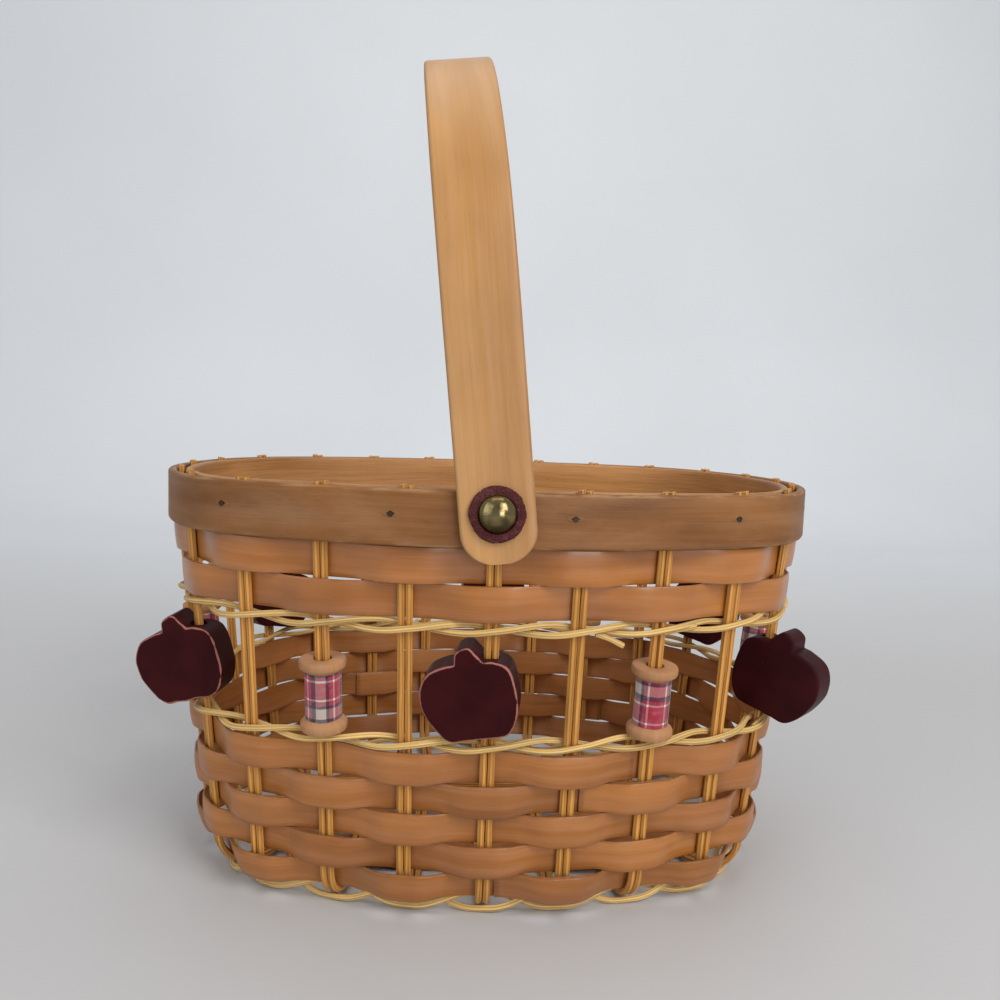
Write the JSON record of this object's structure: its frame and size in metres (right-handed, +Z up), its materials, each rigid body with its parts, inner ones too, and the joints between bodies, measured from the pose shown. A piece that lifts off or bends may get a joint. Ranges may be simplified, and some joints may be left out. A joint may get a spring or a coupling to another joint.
{
  "type": "woven oval basket with swing handle",
  "caption": "Oval basket of flat wood chips woven on round reeds, with a riveted bentwood swing handle and wooden apples and cloth-wrapped spools threaded on the reeds.",
  "frame": {"origin": "middle of the floor, on the surface the basket stands on", "axes": "+Z up, X along the oval, the front with its rivet faces -Y, and the handle leans to -X"},
  "size_m": [0.264, 0.224, 0.3218],
  "materials": {
    "rim_wood": "satin",
    "steel": "dull",
    "handle_wood": "satin",
    "leather": "rough suede",
    "brass": "polished",
    "chip_wood": "satin",
    "upper_chip_wood": "satin",
    "straw_reed": "satin",
    "reed_wood": "satin",
    "apple_paint": "satin paint with worn edges",
    "spool_wood": "matt",
    "plaid_cotton": "woven plaid"
  },
  "bodies": {
    "basket": {"outer_rim_band": "rim_wood", "inner_rim_band": "rim_wood", "rim_brads": "steel", "leather_washer_front": "leather", "rivet_front": "brass", "rivet_burr_front": "brass", "leather_washer_back": "leather", "rivet_back": "brass", "rivet_burr_back": "brass", "weaver_row_1": "upper_chip_wood", "weaver_row_2": "upper_chip_wood", "weaver_row_3": "chip_wood", "weaver_row_4": "chip_wood", "weaver_row_5": "chip_wood", "weaver_row_6": "chip_wood", "weaver_row_7": "chip_wood", "twining_upper_a": "straw_reed", "twining_upper_b": "straw_reed", "twining_middle_a": "straw_reed", "twining_middle_b": "straw_reed", "twining_base_a": "straw_reed", "twining_base_b": "straw_reed", "reed_pair_cross_1": "reed_wood", "reed_pair_cross_2": "reed_wood", "reed_pair_cross_3": "reed_wood", "reed_pair_cross_4": "reed_wood", "reed_pair_cross_5": "reed_wood", "reed_pair_cross_6": "reed_wood", "reed_pair_cross_7": "reed_wood", "reed_pair_cross_8": "reed_wood", "reed_pair_cross_9": "reed_wood", "reed_pair_long_1": "reed_wood", "reed_pair_long_2": "reed_wood", "reed_pair_long_3": "reed_wood", "floor_chip_1": "chip_wood", "floor_chip_2": "chip_wood", "floor_chip_3": "chip_wood", "floor_chip_4": "chip_wood", "floor_chip_5": "chip_wood", "floor_chip_6": "chip_wood"},
    "handle": {"handle_band": "handle_wood"},
    "apple_1": {"apple_1": "apple_paint"},
    "apple_2": {"apple_2": "apple_paint"},
    "apple_3": {"apple_3": "apple_paint"},
    "apple_4": {"apple_4": "apple_paint"},
    "apple_5": {"apple_5": "apple_paint"},
    "apple_6": {"apple_6": "apple_paint"},
    "spool_1": {"spool_1": "spool_wood", "fabric_wrap_1": "plaid_cotton"},
    "spool_2": {"spool_2": "spool_wood", "fabric_wrap_2": "plaid_cotton"},
    "spool_3": {"spool_3": "spool_wood", "fabric_wrap_3": "plaid_cotton"},
    "spool_4": {"spool_4": "spool_wood", "fabric_wrap_4": "plaid_cotton"},
    "spool_5": {"spool_5": "spool_wood", "fabric_wrap_5": "plaid_cotton"},
    "spool_6": {"spool_6": "spool_wood", "fabric_wrap_6": "plaid_cotton"}
  },
  "joints": [
    {"name": "handle_swing", "type": "hinge", "parent": "basket", "child": "handle", "pos_m": [0, 0, 0.1487], "axis": [0, 1, 0], "range_deg": [-93.7, 106.3]},
    {"name": "apple_1_turn", "type": "hinge", "parent": "basket", "child": "apple_1", "pos_m": [0, -0.09128, 0.06903], "axis": [0, -0.0872, 0.9962], "continuous": true},
    {"name": "apple_2_turn", "type": "hinge", "parent": "basket", "child": "apple_2", "pos_m": [0.10622, -0.05534, 0.06903], "axis": [0.0747, -0.045, 0.9962], "continuous": true},
    {"name": "apple_3_turn", "type": "hinge", "parent": "basket", "child": "apple_3", "pos_m": [0.10622, 0.05534, 0.06903], "axis": [0.0747, 0.045, 0.9962], "continuous": true},
    {"name": "apple_4_turn", "type": "hinge", "parent": "basket", "child": "apple_4", "pos_m": [0, 0.09128, 0.06903], "axis": [0, 0.0872, 0.9962], "continuous": true},
    {"name": "apple_5_turn", "type": "hinge", "parent": "basket", "child": "apple_5", "pos_m": [-0.10622, 0.05534, 0.06903], "axis": [-0.0747, 0.045, 0.9962], "continuous": true},
    {"name": "apple_6_turn", "type": "hinge", "parent": "basket", "child": "apple_6", "pos_m": [-0.10622, -0.05534, 0.06903], "axis": [-0.0747, -0.045, 0.9962], "continuous": true},
    {"name": "spool_1_turn", "type": "hinge", "parent": "basket", "child": "spool_1", "pos_m": [0.05734, -0.08365, 0.06903], "axis": [0.0228, -0.0841, 0.9962], "continuous": true},
    {"name": "spool_2_turn", "type": "hinge", "parent": "basket", "child": "spool_2", "pos_m": [0.12128, 0, 0.06903], "axis": [0.0872, 0, 0.9962], "continuous": true},
    {"name": "spool_3_turn", "type": "hinge", "parent": "basket", "child": "spool_3", "pos_m": [0.05734, 0.08365, 0.06903], "axis": [0.0228, 0.0841, 0.9962], "continuous": true},
    {"name": "spool_4_turn", "type": "hinge", "parent": "basket", "child": "spool_4", "pos_m": [-0.05734, 0.08365, 0.06903], "axis": [-0.0228, 0.0841, 0.9962], "continuous": true},
    {"name": "spool_5_turn", "type": "hinge", "parent": "basket", "child": "spool_5", "pos_m": [-0.12128, 0, 0.06903], "axis": [-0.0872, 0, 0.9962], "continuous": true},
    {"name": "spool_6_turn", "type": "hinge", "parent": "basket", "child": "spool_6", "pos_m": [-0.05734, -0.08365, 0.06903], "axis": [-0.0228, -0.0841, 0.9962], "continuous": true}
  ]
}
